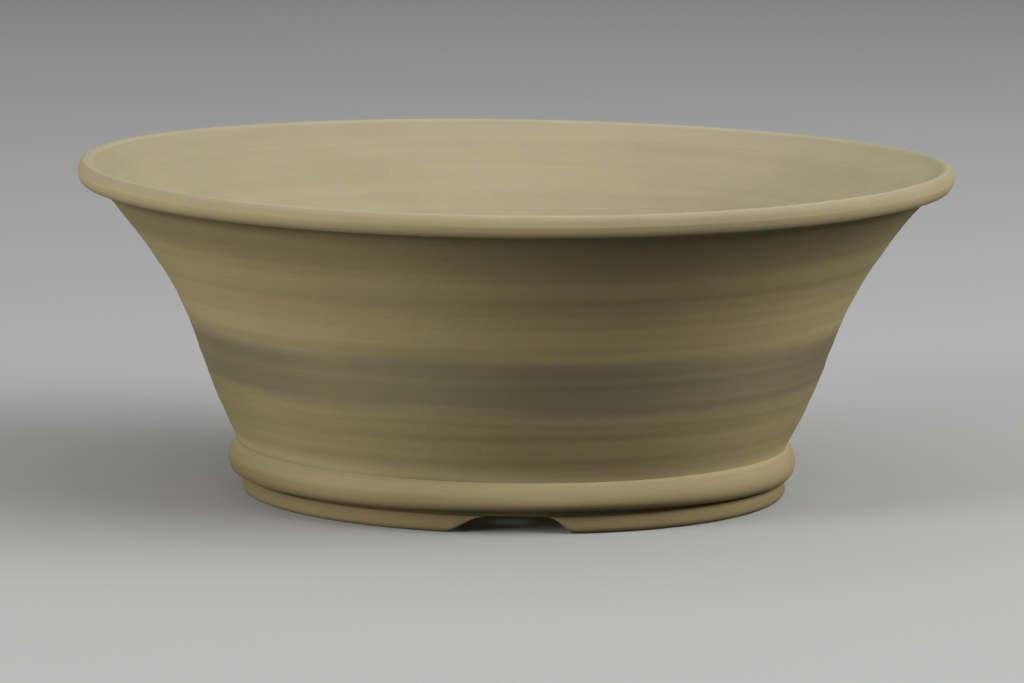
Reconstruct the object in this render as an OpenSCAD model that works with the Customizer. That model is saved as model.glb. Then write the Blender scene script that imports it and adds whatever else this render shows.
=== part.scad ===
// Round wheel-thrown bonsai pot with a rounded lip, a flared wall, a half-round base band, a
// groove under the band and a foot ring cut into three low feet. Units are millimetres, +Z is up,
// the origin is the centre of the plane that the feet stand on, and one foot cut-out faces -Y.

/* [Body] */
// Outer diameter of the lip
rim_d = 200; // [190:1:210]
// Height from the underside of the feet to the top of the lip
pot_h = 75.5; // [72:0.5:84]
// Diameter of the neck, where the wall meets the top of the base band
neck_d = 126.4; // [125:0.2:127.4]
// Thickness of the wall just under the lip
wall_t = 4.2; // [3.8:0.2:5.4]
// Thickness of the wall where it meets the floor
wall_base_t = 6.5; // [6:0.5:7]

/* [Lip] */
// Distance from the rim's edge in to the middle of the crest
crest_in = 2.3; // [2.1:0.1:2.5]
// Height of the lip
lip_h = 5; // [4.8:0.1:5.6]

/* [Base band] */
// Largest diameter of the half-round band
band_d = 130.2; // [129.8:0.1:132]
// Height of the band from its lower edge to the neck
band_h = 6.8; // [6.2:0.1:7.8]

/* [Floor] */
// Thickness of the floor
floor_t = 6; // [5:0.5:6.5]
// Diameter of the central drain hole
drain_d = 24; // [18:1:30]
// Diameter of each tie-wire hole
wire_d = 5; // [4:0.5:7]
// Diameter of the circle that the tie-wire holes stand on
wire_circle_d = 92; // [84:1:94]
// Number of tie-wire holes
wire_count = 4; // [3,4]

/* [Feet] */
// Outer diameter of the foot ring
foot_d = 123.6; // [122:0.2:124.4]
// Width of the foot ring, measured along the radius
foot_w = 10; // [8:0.5:12]
// Height of the feet, up to the groove
foot_h = 4; // [3.6:0.1:4.6]
// Height of the groove, which is that of the continuous ring at its back
ring_h = 0.8; // [0.6:0.1:1.2]
// Width of a cut-out between two feet at its top
cutout_top_w = 14; // [10:1:18]
// Width of a cut-out between two feet at the ground
cutout_ground_w = 28; // [22:1:32]

/* [Hidden] */

// One node per foot, with a cut-out between each two
foot_count = 3;

$fn = 96;
// Degrees between the points of a rounded outline, and points along the other curves
arc_step = 10;
curve_steps = 14;
cut_steps = 8;
// How far a cutting shape runs past the faces that it cuts
over = 1;

clay = [0.68, 0.60, 0.46];
clay_light = [0.74, 0.66, 0.52];
clay_dark = [0.60, 0.53, 0.40];

rim_r = rim_d / 2;
neck_r = neck_d / 2;
band_r = band_d / 2;
foot_r = foot_d / 2;
foot_inner_r = foot_r - foot_w;
ring_top_z = foot_h + ring_h;
floor_top_z = ring_top_z + floor_t;
neck_z = ring_top_z + band_h;

// The wall ends on the flat underside of the lip.
lip_z = pot_h - lip_h;
lip_inset = 4.4;
wall_top_r = rim_r - lip_inset;

// The wall's outline is one cubic curve. Its two middle control radii stand off from the neck.
flare_low = 9.9;
flare_mid = 12.1;
wall_controls = [neck_r, neck_r + flare_low, neck_r + flare_mid, wall_top_r];

// Fillet between the floor and the inside of the wall
fillet_r = 9;

// How far the groove is cut in behind the face of the feet, and the softened edges of the feet
groove_in = 1.4;
groove_r = foot_r - groove_in;
edge = 0.3;

// Upright stretch at the top and at the bottom of a cut-out's side
upright_h = 0.15;

function cubic(p, t) =
    p[0] * pow(1 - t, 3) + 3 * p[1] * t * pow(1 - t, 2) + 3 * p[2] * t * t * (1 - t) + p[3] * pow(t, 3);
function cubic_slope(p, t) =
    3 * ((p[1] - p[0]) * pow(1 - t, 2) + 2 * (p[2] - p[1]) * t * (1 - t) + (p[3] - p[2]) * t * t);

// Outer wall at height z, and its lean from the vertical there
wall_rise = lip_z - neck_z;
function wall_share(z) = (z - neck_z) / wall_rise;
function wall_r(z) = cubic(wall_controls, wall_share(z));
function wall_lean(z) = atan(cubic_slope(wall_controls, wall_share(z)) / wall_rise);
function thickness(z) = wall_base_t + (wall_t - wall_base_t) * wall_share(z);
function inner_r(z) = wall_r(z) - thickness(z) / cos(wall_lean(z));

// Half-round arc of given radii from one angle to another
function arc(cr, cz, rr, rz, from, to) =
    let (n = max(2, ceil(abs(to - from) / arc_step)))
    [for (i = [0:n]) let (a = from + (to - from) * i / n) [cr + rr * cos(a), cz + rz * sin(a)]];

// Fillet: tangent to the floor at its inner end and to the inside of the wall at its top
fillet_z = floor_top_z + fillet_r;
fillet_lean = wall_lean(fillet_z);
fillet_top_z = floor_top_z + fillet_r * (1 - sin(fillet_lean));
fillet_mid_r = inner_r(fillet_top_z) - fillet_r * cos(fillet_lean);
seat_r = inner_r(neck_z);

module revolve(outline) {
    rotate_extrude()
        polygon(outline);
}

// Flared wall: outer curve, flat top under the lip, inner curve and the fillet to the floor
module bowl_wall() {
    outer = [for (i = [0:curve_steps])
        let (z = neck_z + wall_rise * i / curve_steps)
        [wall_r(z), z]];
    inner = [for (i = [0:curve_steps])
        let (z = lip_z + (fillet_top_z - lip_z) * i / curve_steps)
        [inner_r(z), z]];
    fillet = arc(fillet_mid_r, fillet_z, fillet_r, fillet_r, -fillet_lean - arc_step, -90);
    color(clay)
        revolve(concat(outer, inner, fillet, [[seat_r, floor_top_z], [seat_r, neck_z]]));
}

// Lip: an undercut, a heel, a face that turns under, a brow, an upper face that leans back, a crest,
// and a slanted inner face that carries the wall's inside on
module rim_lip() {
    heel_round = 0.5;
    under_round = 3;
    brow_round = 0.9;
    brow_up = 2.14;
    crest_round = 1.8;
    heel_tilt = -50;
    brow_tilt = -10;
    face_tilt = 20;
    inner_tilt = 130;
    brow_r = rim_r - brow_round;
    brow_z = lip_z + brow_up;
    under_r = brow_r - (under_round - brow_round) * cos(brow_tilt);
    under_z = brow_z - (under_round - brow_round) * sin(brow_tilt);
    heel_r = under_r + (under_round - heel_round) * cos(heel_tilt);
    heel_z = under_z + (under_round - heel_round) * sin(heel_tilt);
    heel = arc(heel_r, heel_z, heel_round, heel_round, -90, heel_tilt - arc_step);
    under = arc(under_r, under_z, under_round, under_round, heel_tilt, brow_tilt - arc_step);
    brow = arc(brow_r, brow_z, brow_round, brow_round, brow_tilt, face_tilt);
    crest = arc(rim_r - crest_in, pot_h - crest_round, crest_round, crest_round, face_tilt, inner_tilt);
    color(clay_light)
        revolve(concat([[inner_r(lip_z), lip_z], [wall_top_r, lip_z]], heel, under, brow, crest));
}

// Floor with its central drain hole and the ring of tie-wire holes
module floor_disc() {
    color(clay)
        difference() {
            translate([0, 0, ring_top_z])
                cylinder(h = floor_t, r = seat_r);
            translate([0, 0, ring_top_z - over])
                cylinder(h = floor_t + 2 * over, d = drain_d);
            for (i = [0:wire_count - 1])
                rotate([0, 0, 360 * i / wire_count - 90])
                    translate([wire_circle_d / 2, 0, ring_top_z - over])
                        cylinder(h = floor_t + 2 * over, d = wire_d);
        }
}

// Half-round band around the base: it turns in tightly over the groove and more slowly to the neck
module base_band() {
    root_r = neck_r - 0.6;
    turn_in_h = 2.5;
    bulge_w = band_r - root_r;
    bulge_z = ring_top_z + turn_in_h;
    lower = arc(root_r, bulge_z, bulge_w, turn_in_h, -90, 0);
    upper = arc(root_r, bulge_z, bulge_w, neck_z - bulge_z, arc_step, 70);
    color(clay_light)
        revolve(concat([[seat_r, ring_top_z]], lower, upper, [[neck_r, neck_z], [seat_r, neck_z]]));
}

// Continuous ring on top of the feet, set back to form the groove
module foot_ring() {
    color(clay_dark)
        revolve([
            [foot_inner_r, foot_h],
            [groove_r, foot_h],
            [groove_r, ring_top_z],
            [foot_inner_r, ring_top_z]
        ]);
}

// Half the width of a cut-out, which narrows evenly from the ground, share 0, to its top, share 1
function cutout_half_w(share) =
    (cutout_ground_w + (cutout_top_w - cutout_ground_w) * share) / 2;

// Cutting shape, from well inside the ring to well outside it. Its sides rise steeply and then
// round off into the flat top, and are upright where they cross the foot's top and bottom planes.
module cutout() {
    sweep_h = foot_h - 2 * upright_h;
    side = [for (i = [0:cut_steps])
        let (share = i / cut_steps)
        [cutout_half_w(share), upright_h + sweep_h * sin(90 * share)]];
    opposite = [for (i = [cut_steps:-1:0]) [-side[i][0], side[i][1]]];
    translate([0, -foot_inner_r * 0.8, 0])
        rotate([90, 0, 0])
            linear_extrude(height = foot_r)
                polygon(concat(
                    [[cutout_ground_w / 2, -over]],
                    side,
                    [[cutout_top_w / 2, foot_h + over], [-cutout_top_w / 2, foot_h + over]],
                    opposite,
                    [[-cutout_ground_w / 2, -over]]
                ));
}

// One foot: a sector of the ring that starts and ends inside the cut-outs, which then shape its ends
module foot(index) {
    sector = 360 / foot_count;
    end_gap = 4;
    color(clay)
        rotate([0, 0, sector * (index - 1) - 90])
            difference() {
                rotate([0, 0, end_gap])
                    rotate_extrude(angle = sector - 2 * end_gap)
                        polygon([
                            [foot_inner_r + edge, 0],
                            [foot_r - edge, 0],
                            [foot_r, edge],
                            [foot_r, foot_h],
                            [foot_inner_r, foot_h],
                            [foot_inner_r, edge]
                        ]);
                for (end = [0, 1])
                    rotate([0, 0, sector * end + 90])
                        cutout();
            }
}

module foot_1() {
    foot(1);
}

module foot_2() {
    foot(2);
}

module foot_3() {
    foot(3);
}

bowl_wall();
rim_lip();
floor_disc();
base_band();
foot_ring();
foot_1();
foot_2();
foot_3();
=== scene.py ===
"""Looks of a wheel-thrown, unglazed stoneware bonsai pot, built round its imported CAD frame."""

import math

import bmesh
import bpy
from mathutils import Matrix, Vector

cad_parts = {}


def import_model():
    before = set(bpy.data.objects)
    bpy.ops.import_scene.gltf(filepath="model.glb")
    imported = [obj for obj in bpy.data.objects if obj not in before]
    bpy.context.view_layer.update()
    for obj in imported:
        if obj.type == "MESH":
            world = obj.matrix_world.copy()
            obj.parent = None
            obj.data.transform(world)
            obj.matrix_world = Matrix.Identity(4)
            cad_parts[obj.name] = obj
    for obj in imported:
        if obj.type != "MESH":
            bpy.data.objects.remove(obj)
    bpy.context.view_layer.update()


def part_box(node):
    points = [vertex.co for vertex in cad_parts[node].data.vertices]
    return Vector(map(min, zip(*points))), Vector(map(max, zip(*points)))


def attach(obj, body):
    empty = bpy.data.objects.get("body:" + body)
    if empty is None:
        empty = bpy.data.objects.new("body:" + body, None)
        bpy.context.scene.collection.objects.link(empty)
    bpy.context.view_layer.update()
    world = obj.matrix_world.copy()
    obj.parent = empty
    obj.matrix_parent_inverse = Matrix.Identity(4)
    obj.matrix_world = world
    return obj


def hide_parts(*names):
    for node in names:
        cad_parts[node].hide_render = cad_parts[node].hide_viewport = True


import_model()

# ---------------------------------------------------------------------------------------------
# Sizes, in millimetres, in the CAD frame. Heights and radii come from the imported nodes.
# ---------------------------------------------------------------------------------------------
MM = 0.001


def node_radius(node):
    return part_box(node)[1].x / MM


def node_heights(node):
    low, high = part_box(node)
    return low.z / MM, high.z / MM


RIM_R = round(node_radius("rim_lip"), 1)
LIP_Z, POT_H = (round(z, 1) for z in node_heights("rim_lip"))
WALL_TOP_R = round(node_radius("bowl_wall"), 1)
BAND_R = round(node_radius("base_band"), 1)
RING_TOP_Z, NECK_Z = (round(z, 1) for z in node_heights("base_band"))
FLOOR_TOP_Z = round(node_heights("floor_disc")[1], 1)
GROOVE_R = round(node_radius("foot_ring"), 1)
FOOT_H = round(node_heights("foot_ring")[0], 1)
SEAT_R = node_radius("floor_disc")

# The rest repeats the driving values of the CAD source.
NECK_R = 63.2
FLARE_LOW = 9.9
FLARE_MID = 12.1
WALL_T = 4.2
WALL_BASE_T = 6.5
FILLET_R = 9.0
DRAIN_R = 12.0
WIRE_R = 2.5
WIRE_CIRCLE_R = 46.0
WIRE_COUNT = 4
FOOT_R = 61.8
FOOT_W = 10.0
FOOT_COUNT = 3
CUT_TOP_W = 14.0
CUT_GROUND_W = 28.0
FOOT_INNER_R = FOOT_R - FOOT_W
BAND_ROOT_R = NECK_R - 0.6
BAND_TURN_IN_H = 2.5

# Fineness of the meshes: columns round the pot, and mm between rows
STEPS_ROUND = 480
ROW = 0.7
# How much longer the wall's curve is than it is high
WALL_CURVE = 1.25

# ---------------------------------------------------------------------------------------------
# The hand of the potter: low waves round the pot and throwing ridges on its surfaces
# ---------------------------------------------------------------------------------------------
# Waves of the rim up and down and in and out: (waves round the pot, mm, phase in radians)
RISES = [(0, 0.21, 1.57), (1, 0.128, 1.3), (2, 0.563, 2.03), (3, 0.091, 2.85), (4, 0.071, 2.05)]
SWELLS = [(2, 0.12, 0.0), (3, 0.05, 1.6)]
# How far each height strays sideways, in mm
SWAY = [(4.8, 0.0), (5.4, -0.3), (12.0, -0.25), (25.0, -0.1), (45.0, -0.1), (65.0, -0.4),
        (70.5, -0.4), (73.5, -0.1)]
# Outside, the wall is this many mm fuller. That grows from a height on, over a stretch, and fades out
# over a shorter one above the lip's underside. It starts at a depth in the wall. All in mm
WALL_FULL, FULL_FROM, FULL_GROWTH, FULL_FADE = 0.35, 48.0, 16.0, 2.4
FULL_DEPTH, FULL_DEPTH_FADE = 3.0, 2.0
# The groove was cut freehand: it dips by this many mm, and rises and falls twice round the pot
GROOVE_DIP, GROOVE_RISE, GROOVE_PHASE = 0.2, 0.3, 2.62
# It opens by this many mm to either side at an angle in radians, and less up to a distance from it
GROOVE_OPEN, GROOVE_OPEN_AT, GROOVE_OPEN_REACH = 0.35, -1.35, 0.75
# How far above the groove, and behind the feet, its unevenness fades out, in mm
GROOVE_FADE, GROOVE_FADE_IN = 3.0, 2.0
# How far off the axis the top of the foot ring was trimmed, and how far its foot flares, in mm
FOOT_OFF, FOOT_FLARE = 0.5, 1.1
# How the knife strayed at each cut-out between the feet, in mm: (at its top, at its ground end)
CUTS = [(0.3, -0.5), (-0.5, 0.4), (0.3, 0.7)]
# How early the side of a cut-out starts to rise: 1 is even, and less is earlier
CUT_EARLY = 0.85
# Each ridge: (depth in mm, pitch in mm, turns that it climbs per round, phase in radians)
OUTER_RIDGES = [
    (0.2, 31.0, 0, 0.9), (0.045, 9.7, 1, 0.4), (0.03, 5.3, 1, 2.0), (0.016, 2.9, 2, 4.4),
]
INNER_RIDGES = [(0.06, 7.9, 1, 1.1), (0.03, 4.3, 2, 3.0)]
FLOOR_RIDGES = [(0.13, 6.3, 1, 0.0), (0.04, 3.1, 1, 1.9)]
TRIM_RIDGES = [(0.03, 3.7, 0, 0.7), (0.02, 1.9, 0, 2.9)]
# The ridges fade out over this many mm towards the end of a surface
RIDGE_FADE = 2.5


def smooth(share):
    share = min(1.0, max(0.0, share))
    return share * share * (3 - 2 * share)


def ridges(kinds, along, turn):
    """Height of the throwing ridges, in mm, at a distance along the surface and an angle round."""
    return sum(
        depth * math.cos(math.tau * along / pitch - climb * turn + phase)
        for depth, pitch, climb, phase in kinds
    )


def sway(z):
    """How far a height strays sideways, in mm."""
    for (low, start), (high, end) in zip(SWAY, SWAY[1:]):
        if z <= high:
            return start + (end - start) * smooth((z - low) / (high - low))
    return SWAY[-1][1]


def thrown(r, turn, z, off=0.0):
    """Where a point of the true outline, shifted sideways by off, lies on the thrown pot, in metres."""
    grown = smooth(z / POT_H) * z / POT_H
    rise = grown * sum(up * math.sin(n * turn + phase) for n, up, phase in RISES)
    swell = grown * sum(out * math.cos(n * turn + phase) for n, out, phase in SWELLS)
    near_groove = smooth(z / FOOT_H) * smooth((RING_TOP_Z + GROOVE_FADE - z) / GROOVE_FADE)
    near_groove *= smooth((r - FOOT_INNER_R + GROOVE_FADE_IN) / GROOVE_FADE_IN)
    aside = abs((turn - GROOVE_OPEN_AT + math.pi) % math.tau - math.pi)
    middle = (FOOT_H + RING_TOP_Z) / 2
    opening = GROOVE_OPEN * smooth(1 - aside / GROOVE_OPEN_REACH)
    opening *= min(1.0, max(-1.0, (z - middle) / (RING_TOP_Z - middle)))
    rise += near_groove * (GROOVE_RISE * math.cos(2 * turn + GROOVE_PHASE) - GROOVE_DIP + opening)
    full = WALL_FULL * smooth((z - FULL_FROM) / FULL_GROWTH)
    full *= smooth((LIP_Z + FULL_FADE - z) / FULL_FADE)
    full *= smooth((r - wall_r(z) + FULL_DEPTH) / FULL_DEPTH_FADE)
    r = r + swell + full
    return Vector((off + sway(z) + r * math.cos(turn), r * math.sin(turn), z + rise)) * MM


# ---------------------------------------------------------------------------------------------
# Outlines: lists of (radius, height) points in mm, anticlockwise when +radius is to the right
# ---------------------------------------------------------------------------------------------
def cubic(controls, t):
    a, b, c, d = controls
    s = 1 - t
    return a * s ** 3 + 3 * b * t * s * s + 3 * c * t * t * s + d * t ** 3


def wall_r(z):
    controls = (NECK_R, NECK_R + FLARE_LOW, NECK_R + FLARE_MID, WALL_TOP_R)
    return cubic(controls, (z - NECK_Z) / (LIP_Z - NECK_Z))


def wall_lean(z):
    """Lean of the outer wall from the vertical, in radians."""
    step = 0.01
    return math.atan2(wall_r(z + step) - wall_r(z - step), 2 * step)


def inner_r(z):
    share = (z - NECK_Z) / (LIP_Z - NECK_Z)
    thickness = WALL_BASE_T + (WALL_T - WALL_BASE_T) * share
    return wall_r(z) - thickness / math.cos(wall_lean(z))


def stretch(start, end, row=ROW):
    """Points from start to end, without the end itself."""
    n = max(1, round(math.dist(start, end) / row))
    return [(start[0] + (end[0] - start[0]) * i / n, start[1] + (end[1] - start[1]) * i / n)
            for i in range(n)]


def arc(centre, radii, first, last, row=ROW):
    """Points of an elliptical arc between two angles in degrees, both ends included."""
    n = max(6, round(max(radii) * math.radians(abs(last - first)) / row))
    angles = [math.radians(first + (last - first) * i / n) for i in range(n + 1)]
    return [(centre[0] + radii[0] * math.cos(a), centre[1] + radii[1] * math.sin(a))
            for a in angles]


class Outline:
    """A closed outline whose stretches are named, so that ridges and seams know where they are."""

    def __init__(self):
        self.points = []
        self.surface = []

    def add(self, points, surface):
        self.points += points
        self.surface += [surface] * len(points)


# ---------------------------------------------------------------------------------------------
# Meshes
# ---------------------------------------------------------------------------------------------
RIDGES_ON = {
    "outside": OUTER_RIDGES, "inside": INNER_RIDGES, "floor": FLOOR_RIDGES, "trimmed": TRIM_RIDGES,
}
SEEN_FROM_OUTSIDE = ("outside", "band", "lip", "crest", "ring", "trimmed")
SHARP_ANGLE = math.radians(38)


def bend(outline, i):
    """Turn of the outline at a point, in radians per mm: above 0 on an edge, below 0 in a crease."""
    points = outline.points
    before, here, after = points[i - 1], points[i], points[(i + 1) % len(points)]
    into = math.atan2(here[1] - before[1], here[0] - before[0])
    out = math.atan2(after[1] - here[1], after[0] - here[0])
    turn = (out - into + math.pi) % math.tau - math.pi
    return turn / (0.5 * (math.dist(before, here) + math.dist(here, after)))


def ridge_shift(surface, r, z, turn, fade):
    """(outward, upward) shift in mm that the ridges give a point."""
    kinds = RIDGES_ON.get(surface)
    if not kinds:
        return 0.0, 0.0
    if surface in ("floor", "trimmed"):
        return 0.0, fade * ridges(kinds, r, turn)
    return fade * ridges(kinds, z, turn), 0.0


def ridge_fades(outline):
    """Share of the ridges at each point: none at the ends of a surface, so that it meets the next."""
    points, surface = outline.points, outline.surface
    n = len(points)
    fades = []
    for i in range(n):
        near = RIDGE_FADE
        for step in (-1, 1):
            away, j = 0.0, i
            while away < RIDGE_FADE and surface[j % n] == surface[i]:
                away += math.dist(points[j % n], points[(j + step) % n])
                j += step
            near = min(near, away)
        fades.append(smooth(near / RIDGE_FADE))
    return fades


def finish_mesh(name, bm):
    """An object in the scene made of a finished bmesh, smooth apart from its sharp edges."""
    bmesh.ops.recalc_face_normals(bm, faces=bm.faces)
    for face in bm.faces:
        face.smooth = True
    mesh = bpy.data.meshes.new(name)
    bm.to_mesh(mesh)
    bm.free()
    mesh.set_sharp_from_angle(angle=SHARP_ANGLE)
    piece = bpy.data.objects.new(name, mesh)
    bpy.context.scene.collection.objects.link(piece)
    return piece


def revolve(name, outline, off=0.0):
    """A closed ring: the outline turned about Z, with its ridges and the potter's waves."""
    bm = bmesh.new()
    # Attributes that the material reads
    outside = bm.verts.layers.float.new("outside")
    edge = bm.verts.layers.float.new("edge")
    crest = bm.verts.layers.float.new("crest")
    fades = ridge_fades(outline)
    bends = [bend(outline, i) for i in range(len(outline.points))]
    rings = []
    for k in range(STEPS_ROUND):
        turn = math.tau * k / STEPS_ROUND
        ring = []
        for (r, z), surface, fade, curve in zip(outline.points, outline.surface, fades, bends):
            out, up = ridge_shift(surface, r, z, turn, fade)
            vert = bm.verts.new(thrown(r + out, turn, z + up, off))
            vert[outside] = float(surface in SEEN_FROM_OUTSIDE)
            # The outline's bend, from which the material paints a highlight on edges and shade in
            # creases
            vert[edge] = min(1.0, max(-1.0, curve))
            # Marks the crest's points, which get a painted highlight
            vert[crest] = float(surface == "crest")
            ring.append(vert)
        rings.append(ring)
    n = len(outline.points)
    for k in range(STEPS_ROUND):
        here, there = rings[k], rings[(k + 1) % STEPS_ROUND]
        for i in range(n):
            j = (i + 1) % n
            bm.faces.new((here[i], there[i], there[j], here[j]))
    return finish_mesh(name, bm)


def wall_outline():
    """Flared wall: outside up to the lip, flat top, inside down, and the fillet to the floor."""
    outline = Outline()
    rise = LIP_Z - NECK_Z
    rows = round(WALL_CURVE * rise / ROW)
    heights = [NECK_Z + rise * i / rows for i in range(rows + 1)]
    outline.add([(wall_r(z), z) for z in heights], "outside")
    fillet_z = FLOOR_TOP_Z + FILLET_R
    lean = wall_lean(fillet_z)
    fillet_top_z = FLOOR_TOP_Z + FILLET_R * (1 - math.sin(lean))
    fillet_mid_r = inner_r(fillet_top_z) - FILLET_R * math.cos(lean)
    fall = LIP_Z - fillet_top_z
    rows = round(WALL_CURVE * fall / ROW)
    heights = [LIP_Z - fall * i / rows for i in range(rows)]
    inner = [(inner_r(z), z) for z in heights]
    fillet = arc((fillet_mid_r, fillet_z), (FILLET_R, FILLET_R), -math.degrees(lean), -90)
    outline.add(inner + fillet, "inside")
    outline.add([(SEAT_R, FLOOR_TOP_Z), (SEAT_R, NECK_Z)], "seam")
    return outline


def lip_outline():
    """Lip: undercut, heel, a face that turns under, brow, upper face, crest and inner face."""
    # Radii of the arcs from the heel up to the crest, and the tilt in degrees at which each one starts
    radii = {"heel": 0.5, "under": 3.7, "brow": 0.9, "face": 5.5, "crest": 1.8}
    tilts = {"heel": -90, "under": -50, "brow": -10, "face": 4, "crest": 15}
    inner_tilt = 130
    # Points at the top and the inner side of the crest, which get a painted highlight
    pale = 11
    # Rows down the inner face
    inner_rows = 12
    names = list(radii)

    # Each arc runs on smoothly into the next. The crest's height and the brow's reach fix the chain.
    middles = {"heel": (0.0, 0.0)}
    for name, following in zip(names, names[1:]):
        way = math.radians(tilts[following])
        more = radii[name] - radii[following]
        r, z = middles[name]
        middles[following] = (r + more * math.cos(way), z + more * math.sin(way))
    out = RIM_R - radii["brow"] - middles["brow"][0]
    up = POT_H - radii["crest"] - middles["crest"][1]
    rounded = []
    ends = [tilts[name] for name in names[1:]] + [inner_tilt]
    for name, end in zip(names, ends):
        middle = (middles[name][0] + out, middles[name][1] + up)
        turned = arc(middle, (radii[name], radii[name]), tilts[name], end, row=0.2)
        rounded += turned[:-1]
    rounded.append(turned[-1])

    low, seat = (inner_r(LIP_Z), LIP_Z), (WALL_TOP_R, LIP_Z)
    outline = Outline()
    underside = stretch(low, seat, 0.5)[1:] + stretch(seat, rounded[0], 0.4)
    outline.add(underside + rounded[:-pale], "lip")
    outline.add(rounded[-pale:], "crest")

    # The inner face runs smoothly from the crest into the wall's inside.
    inmost, before = rounded[-1], rounded[-2]
    lower = (inner_r(LIP_Z - 0.5), LIP_Z - 0.5)
    reach = math.dist(inmost, low) / 3
    pull = [tuple(a + (a - b) / math.dist(p, q) * reach for a, b in zip(p, q))
            for p, q in ((inmost, before), (low, lower))]
    controls = list(zip(inmost, *pull, low))
    shares = [i / inner_rows for i in range(1, inner_rows + 1)]
    outline.add([tuple(cubic(axis, share) for axis in controls) for share in shares], "inside")
    return outline


def band_outline():
    """Half-round band: it turns in tightly over the groove, and slowly up to the crease of the neck."""
    outline = Outline()
    width = BAND_R - BAND_ROOT_R
    bulge, neck = (BAND_ROOT_R, RING_TOP_Z + BAND_TURN_IN_H), (NECK_R, NECK_Z)
    lower = arc(bulge, (width, BAND_TURN_IN_H), -90, 0, row=0.2)
    upper = arc(bulge, (width, NECK_Z - bulge[1]), 0, 70, row=0.25)[1:]
    outline.add(lower + upper + stretch(upper[-1], neck, 0.2)[1:] + [neck], "band")
    outline.add([(SEAT_R, NECK_Z), (SEAT_R, RING_TOP_Z)], "seam")
    outline.add(stretch((SEAT_R, RING_TOP_Z), lower[0], 0.6)[1:], "band")
    return outline


def ring_outline():
    """Continuous ring on top of the feet, set back to form the groove."""
    outline = Outline()
    outline.add([(FOOT_INNER_R, RING_TOP_Z), (FOOT_INNER_R, FOOT_H)], "seam")
    outline.add(stretch((FOOT_INNER_R, FOOT_H), (GROOVE_R, FOOT_H), 1.0)[1:], "ring")
    outline.add(stretch((GROOVE_R, FOOT_H), (GROOVE_R, RING_TOP_Z), 0.2), "ring")
    outline.add([(GROOVE_R, RING_TOP_Z)], "ring")
    return outline


def floor_outline():
    """Floor with the rounded mouth of the drain hole."""
    edge = 1.1
    outline = Outline()
    low, high = RING_TOP_Z, FLOOR_TOP_Z
    outline.add(arc((DRAIN_R + edge, low + edge), (edge, edge), -90, -180, row=0.2), "hole")
    outline.add(arc((DRAIN_R + edge, high - edge), (edge, edge), 180, 90, row=0.2), "hole")
    outline.add(stretch((DRAIN_R + edge, high), (SEAT_R, high))[1:], "floor")
    outline.add([(SEAT_R, high), (SEAT_R, low)], "seam")
    outline.add(stretch((SEAT_R, low), (DRAIN_R + edge, low))[1:], "trimmed")
    outline.points.reverse()
    outline.surface.reverse()
    return outline


def wire_hole_cutter(x, y):
    """Cutting solid of one tie-wire hole, with mouths that flare softly at both faces."""
    edge, over, steps = 0.4, 0.6, 48
    low, high = RING_TOP_Z, FLOOR_TOP_Z
    # The flare ends short of the flat, at this angle in degrees, so that the cut stays clean.
    mouth = 97
    side = arc((WIRE_R + edge, low + edge), (edge, edge), -mouth, -180, row=0.15)
    side += arc((WIRE_R + edge, high - edge), (edge, edge), 180, mouth, row=0.15)
    side = [(side[0][0], low - over)] + side + [(side[-1][0], high + over)]
    bm = bmesh.new()
    rings = []
    for r, z in side:
        angles = [math.tau * k / steps for k in range(steps)]
        places = [Vector((x + r * math.cos(a), y + r * math.sin(a), z)) * MM for a in angles]
        rings.append([bm.verts.new(place) for place in places])
    for lower, upper in zip(rings, rings[1:]):
        for k in range(steps):
            m = (k + 1) % steps
            bm.faces.new((lower[k], lower[m], upper[m], upper[k]))
    bm.faces.new(rings[0])
    bm.faces.new(rings[-1])
    return finish_mesh("cutter", bm)


def drill(piece):
    """Cut the ring of tie-wire holes through the floor."""
    sliver = 0.003 * MM
    for i in range(WIRE_COUNT):
        turn = math.tau * i / WIRE_COUNT - math.pi / 2
        cutter = wire_hole_cutter(WIRE_CIRCLE_R * math.cos(turn), WIRE_CIRCLE_R * math.sin(turn))
        cut = piece.modifiers.new("hole", "BOOLEAN")
        cut.operation = "DIFFERENCE"
        cut.solver = "EXACT"
        cut.object = cutter
        with bpy.context.temp_override(object=piece, active_object=piece):
            bpy.ops.object.modifier_apply(modifier=cut.name)
        bpy.data.objects.remove(cutter)
    # Slivers that the cuts leave are closed up.
    bm = bmesh.new()
    bm.from_mesh(piece.data)
    bmesh.ops.remove_doubles(bm, verts=bm.verts, dist=sliver)
    bmesh.ops.dissolve_degenerate(bm, dist=sliver, edges=bm.edges)
    bmesh.ops.triangulate(bm, faces=[face for face in bm.faces if len(face.verts) > 4])
    bmesh.ops.dissolve_degenerate(bm, dist=sliver, edges=bm.edges)
    bm.to_mesh(piece.data)
    bm.free()
    piece.data.set_sharp_from_angle(angle=SHARP_ANGLE)


def cut_half(share, side, stray):
    """Half the width of a cut-out on one side, from its ground end, share 0, to its top, share 1."""
    top, ground = CUT_TOP_W / 2 + side * stray[0], CUT_GROUND_W / 2 + side * stray[1]
    return ground + (top - ground) * share


def cut_height(x, stray):
    """Height of a foot's underside at a distance x from the middle plane of a cut-out, in mm."""
    side = math.copysign(1, x)
    top, ground = cut_half(1, side, stray), cut_half(0, side, stray)
    share = min(1.0, max(0.0, (ground - abs(x)) / (ground - top)))
    return FOOT_H * (1 - math.cos(math.pi * share ** CUT_EARLY)) / 2


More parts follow.
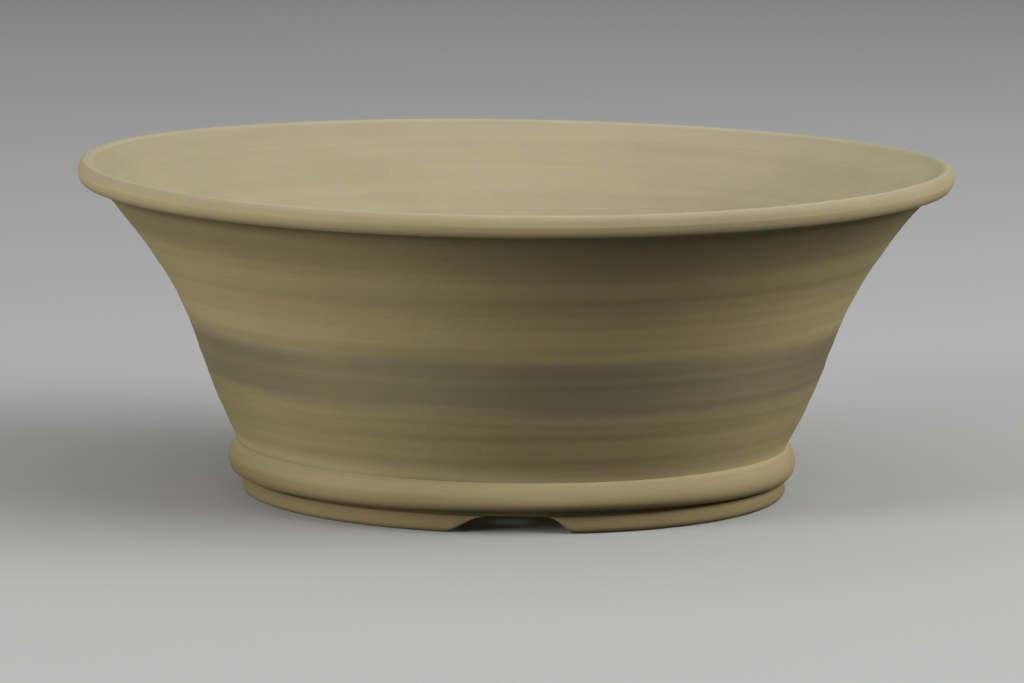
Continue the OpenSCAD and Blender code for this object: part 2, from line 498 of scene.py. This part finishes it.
def foot_section(tall):
    """Outline of a foot of a given height, as points of (share of its width, shift, lift, height).

    A point without a height stands above the underside by its lift.
    """
    across, corner = 12, 5
    # Rounding of the lower edges and of the outer shoulder: most mm, and most of the height
    soft = min(1.8, 0.45 * tall)
    shoulder, shoulder_in = min(1.3, 0.33 * tall), 0.65
    quarter = [math.pi / 2 * i / corner for i in range(corner + 1)]
    section = [(0.0, 0.0, 0.0, FOOT_H)]
    section += [(0.0, soft * (1 - math.cos(a)), soft * (1 - math.sin(a)), None) for a in quarter]
    flat = 1 - 2 * soft / FOOT_W
    section += [(flat * i / across, soft, 0.0, None) for i in range(1, across)]
    section += [(1.0, -soft * (1 - math.cos(a)), soft * (1 - math.sin(a)), None)
                for a in reversed(quarter)]
    section += [(1.0, -shoulder_in * shoulder * (1 - math.cos(a)), 0.0,
                 FOOT_H - shoulder * (1 - math.sin(a))) for a in quarter]
    return section


def foot_mesh(name, index):
    """One foot: a rounded bar along the ring, whose underside sweeps up into a cut-out at each end."""
    sector = math.tau / FOOT_COUNT
    start = sector * (index - 1) - math.pi / 2
    stray, next_stray = CUTS[index - 1], CUTS[index % FOOT_COUNT]
    # Columns in each end and in the middle, the share of the length that an end takes, and the mm
    # of clay that are left at its very end
    ends, middle, end_share, thin = 26, 84, 0.16, 0.03
    near = [end_share * (1 - math.cos(math.pi * i / ends)) / 2 for i in range(ends)]
    between = [end_share + (1 - 2 * end_share) * i / middle for i in range(middle)]
    along = near + between + [1 - share for share in reversed(near)]

    bm = bmesh.new()
    outside = bm.verts.layers.float.new("outside")
    edge = bm.verts.layers.float.new("edge")

    def angle(r, share):
        first = math.asin(cut_half(1, 1, stray) / r)
        last = math.asin(cut_half(1, -1, next_stray) / r)
        return start + first + (sector - first - last) * share

    def underside(r, share):
        turn = angle(r, share) - start
        here = cut_height(r * math.sin(turn), stray)
        there = cut_height(-r * math.sin(sector - turn), next_stray)
        return min(max(here, there), FOOT_H - thin)

    columns = []
    for share in along:
        column = []
        tall = FOOT_H - underside(FOOT_INNER_R + FOOT_W / 2, share)
        for part, shift, lift, height in foot_section(tall):
            r = FOOT_INNER_R + FOOT_W * part + shift
            z = underside(r, share) + lift if height is None else height
            lean = 1 - z / FOOT_H
            flared = r + FOOT_FLARE * lean * (r - FOOT_INNER_R) / FOOT_W
            vert = bm.verts.new(thrown(flared, angle(r, share), z, FOOT_OFF * (1 - lean)))
            vert[outside] = 1.0
            # The rounded lower edges get the painted edge highlight
            vert[edge] = float(lift > 0)
            column.append(vert)
        columns.append(column)
    n = len(columns[0])
    for here, there in zip(columns, columns[1:]):
        for i in range(n):
            j = (i + 1) % n
            bm.faces.new((here[i], there[i], there[j], here[j]))
    bm.faces.new(columns[0])
    bm.faces.new(list(reversed(columns[-1])))
    return finish_mesh(name, bm)


# ---------------------------------------------------------------------------------------------
# Material: dry unglazed stoneware
# ---------------------------------------------------------------------------------------------
class Nodes:
    """Shorthand for a material's node tree."""

    def __init__(self, name):
        self.material = bpy.data.materials.new(name)
        self.material.use_nodes = True
        self.tree = self.material.node_tree
        self.tree.nodes.clear()

    def add(self, kind, inputs=(), **settings):
        node = self.tree.nodes.new("ShaderNode" + kind)
        for key, value in settings.items():
            setattr(node, key, value)
        for key, value in dict(inputs).items():
            if isinstance(value, bpy.types.NodeSocket):
                self.tree.links.new(value, node.inputs[key])
            else:
                node.inputs[key].default_value = value
        return node

    def math(self, operation, a, b=0.5, c=0.5):
        return self.add("Math", {0: a, 1: b, 2: c}, operation=operation).outputs[0]

    def noise(self, vector, scale, detail=2.0, roughness=0.5):
        inputs = {"Vector": vector, "Scale": scale, "Detail": detail, "Roughness": roughness}
        return self.add("TexNoise", inputs).outputs["Fac"]

    def spread(self, value, low, high, out_low, out_high, kind="LINEAR"):
        inputs = {0: value, 1: low, 2: high, 3: out_low, 4: out_high}
        return self.add("MapRange", inputs, clamp=True, interpolation_type=kind).outputs[0]

    def window(self, value, low, high, fade):
        """1 between low and high, and 0 outside, with soft ends."""
        rising = self.spread(value, low, low + fade, 0.0, 1.0)
        falling = self.spread(value, high - fade, high, 1.0, 0.0)
        return self.math("MULTIPLY", rising, falling)

    def grey(self, value):
        return self.add("CombineColor", {0: value, 1: value, 2: value}).outputs[0]

    def specks(self, vector, scale, channel, rare, size):
        """1 on a few small round specks: those of the cells whose random colour is above rare."""
        cells = self.add("TexVoronoi", {"Vector": vector, "Scale": scale}, feature="F1").outputs
        chance = self.add("SeparateColor", {0: cells["Color"]}).outputs[channel]
        reach = self.spread(chance, rare, 1.0, 0.0, size)
        return self.math("LESS_THAN", cells["Distance"], reach)

    def stretched(self, vector, x, y, z):
        return self.add("Mapping", {"Vector": vector, "Scale": (x, y, z)}).outputs[0]

    def ramp(self, value, stops):
        node = self.add("ValToRGB", {0: value})
        ramp = node.color_ramp
        while len(ramp.elements) < len(stops):
            ramp.elements.new(0.5)
        for element, (place, tone) in zip(ramp.elements, stops):
            element.position = place
            element.color = (*tone, 1.0)
        return node.outputs[0]

    def mix(self, share, a, b, blend="MIX"):
        node = self.add("Mix", {0: share, 6: a, 7: b}, data_type="RGBA", blend_type=blend)
        return node.outputs[2]


CLAY = (0.42, 0.345, 0.183)
CLAY_PALE = (0.405, 0.352, 0.228)
CLAY_GREY = (0.405, 0.343, 0.188)
CLAY_WARM = (0.42, 0.34, 0.168)
CLAY_OLIVE = (0.415, 0.345, 0.165)
CLAY_BROWN = (0.42, 0.325, 0.155)
CLAY_LIP = (0.417, 0.35, 0.217)
# Painted highlight along the crest, and its share
CREST_HIGHLIGHT, CREST_HIGHLIGHT_SHARE = (0.50, 0.48, 0.33), 0.6
LIGHT_GROG = (0.60, 0.54, 0.40)
DARK_GROG = (0.12, 0.10, 0.065)

# Colour of the outside by height in mm: throwing slip and kiln flashing leave soft level bands.
# The strongest is a dark grey flash a third of the way up. The band's underside and the wall under
# the lip are darker partly from painted shade; the lip's lower face has painted shade, and the
# crease above the band and the lip's upper face a painted highlight.
BANDS_AND_PAINTED_LIGHT = [
    # The band's underside is darker partly from painted shade
    (0.0, CLAY_BROWN, 0.62), (4.4, CLAY_BROWN, 0.66), (6.2, CLAY_BROWN, 0.82),
    (7.4, CLAY_BROWN, 0.88), (8.8, CLAY, 1.01), (11.2, CLAY, 0.98),
    # Painted highlight on the crease above the band
    (12.4, CLAY_GREY, 1.28), (13.8, CLAY, 1.10), (15.6, CLAY_OLIVE, 0.95),
    (19.0, CLAY_OLIVE, 0.91), (24.2, CLAY_OLIVE, 0.90), (25.0, CLAY_OLIVE, 0.82),
    (26.4, CLAY_OLIVE, 0.92), (28.2, CLAY_GREY, 0.78), (29.6, CLAY_GREY, 0.65),
    (34.0, CLAY_GREY, 0.70), (37.5, CLAY_GREY, 0.68), (39.6, CLAY_GREY, 0.81),
    (41.2, CLAY_WARM, 0.98), (43.5, CLAY_WARM, 1.16), (50.0, CLAY_WARM, 1.14),
    (55.5, CLAY_WARM, 1.06), (58.4, CLAY_WARM, 1.12), (60.0, CLAY_WARM, 1.05),
    # Painted shade on the wall under the lip and on the lip's lower face, painted highlight on its
    # upper face
    (62.0, CLAY_WARM, 0.91), (66.0, CLAY_WARM, 0.85), (69.5, CLAY_WARM, 0.86),
    (71.0, CLAY, 0.98), (73.2, CLAY, 1.19), (74.4, CLAY_LIP, 1.07),
    (75.5, CLAY_LIP, 1.04),
]
# The flash comes and goes round the pot: patches per round, strength, angle of the first one in
# radians from the front, and the heights in mm between which it fades in and out
FLASH_PATCHES, FLASH_DEPTH, FLASH_TURN = 5.0, 0.1, 0.19
FLASH_LOW, FLASH_HIGH, FLASH_FADE = 27.0, 41.0, 3.0
# How far the bands wander up and down, in mm
WANDER = 0.8
# Darker patches: (1 outside or 0 inside, angle from the front in radians, reach in radians,
# lowest mm, highest mm, fade in mm, depth). Below 0, the depth makes a paler patch. The patches at
# the band's two ends and the one under the lip on the left are painted shade.
PATCHES_TONE_AND_SHADE = [
    (1.0, 0.02, 0.5, 13.0, 31.0, 3.0, 0.15),
    (1.0, 0.08, 0.55, 29.0, 69.0, 4.0, 0.05),
    (1.0, -1.45, 0.7, 12.0, 31.0, 3.0, 0.11),
    # This one and the next: painted shade at the band's two ends
    (1.0, 1.5, 0.45, 7.5, 12.0, 2.0, 0.14),
    (1.0, -1.35, 0.8, 4.0, 12.0, 2.0, 0.24),
    (1.0, 0.0, 0.5, -1.0, 4.6, 0.5, 0.14),
    (1.0, 0.95, 0.6, 13.0, 24.0, 3.0, -0.10),
    (1.0, -1.0, 0.6, 50.0, 64.0, 4.0, -0.08),
    (1.0, 1.2, 0.5, 29.0, 40.0, 3.0, 0.09),
    (1.0, 0.85, 0.3, 60.0, 71.0, 3.0, 0.08),
    (0.0, 1.5, 0.8, 40.0, 78.0, 6.0, -0.16),
    # Painted shade under the lip on the left
    (1.0, -0.85, 0.8, 67.6, 72.4, 1.6, 0.16),
]
# The inside is paler lower down: heights in mm and tones there
INSIDE_LOW, INSIDE_HIGH, INSIDE_LOW_TONE, INSIDE_HIGH_TONE = 52.0, 73.0, 1.18, 1.09


def stoneware():
    n = Nodes("stoneware")
    place = n.add("TexCoord").outputs["Object"]
    axes = n.add("SeparateXYZ", {0: place}).outputs
    height = axes["Z"]
    outside = n.add("Attribute", attribute_name="outside").outputs["Fac"]
    edge = n.add("Attribute", attribute_name="edge").outputs["Fac"]
    crest = n.add("Attribute", attribute_name="crest").outputs["Fac"]

    # Level bands, with painted shade and highlight among them, and a height that wanders a little round
    # the pot
    wander = n.noise(place, 14.0, 1.0)
    wander = n.spread(wander, 0.3, 0.7, -WANDER * MM, WANDER * MM)
    level = n.math("DIVIDE", n.math("ADD", height, wander), POT_H * MM)
    bands_and_painted_light = n.ramp(level, [(z / POT_H, [tone * part for part in clay]) for z, clay, tone in BANDS_AND_PAINTED_LIGHT])
    pale = n.spread(height, INSIDE_LOW * MM, INSIDE_HIGH * MM, INSIDE_LOW_TONE, INSIDE_HIGH_TONE)
    inside = n.mix(1.0, (*CLAY_PALE, 1.0), n.grey(pale), "MULTIPLY")
    colour = n.mix(outside, inside, bands_and_painted_light)
    # Painted highlight along the crest's top and inner side
    colour = n.mix(n.math("MULTIPLY", crest, CREST_HIGHLIGHT_SHARE), colour, (*CREST_HIGHLIGHT, 1.0))

    # Kiln flash and patches, some of them painted shade, which are summed into the share of the tone
    # that they take away
    turn = n.math("ARCTAN2", axes["X"], n.math("MULTIPLY", axes["Y"], -1.0))
    wave = n.math("COSINE", n.math("MULTIPLY", n.math("SUBTRACT", turn, FLASH_TURN), FLASH_PATCHES))
    shade = n.math("MULTIPLY", n.math("MULTIPLY", wave, outside), FLASH_DEPTH)
    level = n.window(height, FLASH_LOW * MM, FLASH_HIGH * MM, FLASH_FADE * MM)
    shade = n.math("MULTIPLY", shade, level)
    for side, angle, reach, low, high, fade, depth in PATCHES_TONE_AND_SHADE:
        aside = n.math("ABSOLUTE", n.math("SUBTRACT", turn, angle))
        patch = n.spread(aside, 0.0, reach, depth, 0.0, "SMOOTHSTEP")
        patch = n.math("MULTIPLY", patch, n.window(height, low * MM, high * MM, fade * MM))
        patch = n.math("MULTIPLY", patch, n.math("COMPARE", outside, side))
        shade = n.math("ADD", shade, patch)

    # Fine level streaks left by the throwing sponge and the trimming tool
    flat = n.stretched(place, 9.0, 9.0, 900.0)
    streaks = n.noise(flat, 1.0, 4.0, 0.6)
    broad = n.noise(n.stretched(place, 8.0, 8.0, 190.0), 1.0, 2.0)

    # Mottling of the clay, grain and grog
    mottle = n.noise(place, 55.0, 4.0, 0.55)
    patches = n.noise(place, 16.0, 2.0)
    grain = n.noise(place, 2600.0, 3.0, 0.65)
    light_speck = n.specks(place, 620.0, "Red", 0.96, 0.2)
    dark_speck = n.specks(place, 260.0, "Green", 0.992, 0.13)

    warmth = n.ramp(patches, [(0.35, (0.985, 1.005, 0.98)), (0.65, (1.015, 0.995, 1.02))])
    colour = n.mix(1.0, colour, warmth, "MULTIPLY")
    blotches = n.noise(place, 300.0, 2.0)
    hue = n.ramp(blotches, [(0.3, (0.975, 1.0, 1.03)), (0.7, (1.02, 1.0, 0.97))])
    colour = n.mix(1.0, colour, hue, "MULTIPLY")
    # Each one's range, and the tones at its two ends
    tones = [
        (streaks, 0.25, 0.75, 0.95, 1.05), (broad, 0.3, 0.7, 0.965, 1.035),
        (mottle, 0.3, 0.7, 0.965, 1.035), (grain, 0.25, 0.75, 0.93, 1.07),
        # Painted highlight on edges and painted shade in creases
        (edge, -1.0, 1.0, 0.97, 1.05),
    ]
    tone = n.math("SUBTRACT", 1.0, shade)
    for value, low, high, dark, light in tones:
        tone = n.math("MULTIPLY", tone, n.spread(value, low, high, dark, light))
    colour = n.mix(1.0, colour, n.grey(tone), "MULTIPLY")
    colour = n.mix(n.math("MULTIPLY", light_speck, 0.35), colour, (*LIGHT_GROG, 1.0))
    colour = n.mix(n.math("MULTIPLY", dark_speck, 0.5), colour, (*DARK_GROG, 1.0))

    relief = n.math("MULTIPLY", grain, 0.35)
    relief = n.math("ADD", relief, n.math("MULTIPLY", streaks, 0.5))
    relief = n.math("ADD", relief, n.math("MULTIPLY", light_speck, 0.25))
    relief = n.math("SUBTRACT", relief, n.math("MULTIPLY", dark_speck, 0.8))
    bump = n.add("Bump", {"Height": relief, "Strength": 0.35, "Distance": 0.00025}).outputs[0]

    rough = n.math("ADD", grain, n.math("MULTIPLY", mottle, 0.5))
    rough = n.spread(rough, 0.4, 1.1, 0.8, 0.96)
    inputs = {"Base Color": colour, "Roughness": rough, "Normal": bump, "Specular IOR Level": 0.25}
    shader = n.add("BsdfPrincipled", inputs)
    n.add("OutputMaterial", {"Surface": shader.outputs[0]})
    return n.material


# ---------------------------------------------------------------------------------------------
# The pot
# ---------------------------------------------------------------------------------------------
def put(piece, node, material):
    """Finish a piece that stands for a CAD node."""
    piece.data.materials.append(material)
    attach(piece, "root")
    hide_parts(node)


clay = stoneware()
put(revolve("wall_thrown", wall_outline()), "bowl_wall", clay)
put(revolve("lip_rolled", lip_outline()), "rim_lip", clay)
put(revolve("band_turned", band_outline()), "base_band", clay)
put(revolve("ring_trimmed", ring_outline(), FOOT_OFF), "foot_ring", clay)
floor_piece = revolve("floor_drilled", floor_outline())
drill(floor_piece)
put(floor_piece, "floor_disc", clay)
for index in range(1, FOOT_COUNT + 1):
    put(foot_mesh(f"foot_cut_{index}", index), f"foot_{index}", clay)


# ---------------------------------------------------------------------------------------------
# Stage: pale floor, soft lights and the camera
# ---------------------------------------------------------------------------------------------
def ground():
    n = Nodes("stage_floor")
    shader = n.add("BsdfPrincipled", {"Base Color": (0.55, 0.56, 0.55, 1.0), "Roughness": 0.9})
    n.add("OutputMaterial", {"Surface": shader.outputs[0]})
    bm = bmesh.new()
    bmesh.ops.create_grid(bm, x_segments=2, y_segments=2, size=12.0)
    piece = finish_mesh("stage_floor", bm)
    piece.data.materials.append(n.material)
    # The pale floor throws no light back up, which would wash out the shade under the lip.
    piece.visible_diffuse = False


def softbox(name, azimuth, elevation, size, power):
    """A square soft light aimed at the pot. Azimuth 0 is the camera's side, 90 is the pot's right."""
    turn, lift = math.radians(azimuth), math.radians(elevation)
    aim, distance = Vector((0.0, 0.0, 0.05)), 1.6
    level = math.cos(lift)
    away = Vector((math.sin(turn) * level, -math.cos(turn) * level, math.sin(lift)))
    lamp = bpy.data.lights.new(name, "AREA")
    lamp.size = size
    lamp.energy = power
    light = bpy.data.objects.new(name, lamp)
    light.location = aim + away * distance
    light.rotation_euler = away.to_track_quat("Z", "Y").to_euler()
    bpy.context.scene.collection.objects.link(light)


def world(strength):
    made = bpy.data.worlds.new("world")
    made.use_nodes = True
    background = made.node_tree.nodes["Background"]
    background.inputs["Color"].default_value = (1.0, 1.0, 1.0, 1.0)
    background.inputs["Strength"].default_value = strength
    bpy.context.scene.world = made


def camera():
    """At the photograph's angle: far off with a long lens, above the rim, and turned slightly."""
    # Distance and height in radii of the rim, and the lens in mm
    distance, height, lens = 14.0, 2.315, 216.4
    pitch, roll, yaw = math.radians(8.02), math.radians(0.757), math.radians(0.026)
    data = bpy.data.cameras.new("camera")
    data.lens = lens
    data.sensor_width = 36.0
    data.clip_start, data.clip_end = 0.05, 60.0
    view = bpy.data.objects.new("camera", data)
    radius = RIM_R * MM
    turn = Matrix.Rotation(yaw, 4, "Z") @ Matrix.Rotation(math.pi / 2 - pitch, 4, "X")
    turn = turn @ Matrix.Rotation(roll, 4, "Z")
    view.matrix_world = Matrix.Translation((0.0, -distance * radius, height * radius)) @ turn
    bpy.context.scene.collection.objects.link(view)
    bpy.context.scene.camera = view


ground()
softbox("top", 0, 90, 3.2, 15.5)
softbox("left", -56, 15, 0.7, 14.5)
softbox("right", 62, 31, 0.8, 10.3)
softbox("right_side", 90, 31, 0.8, 9.0)
world(0.067)
camera()
bpy.context.scene.view_settings.view_transform = "Standard"
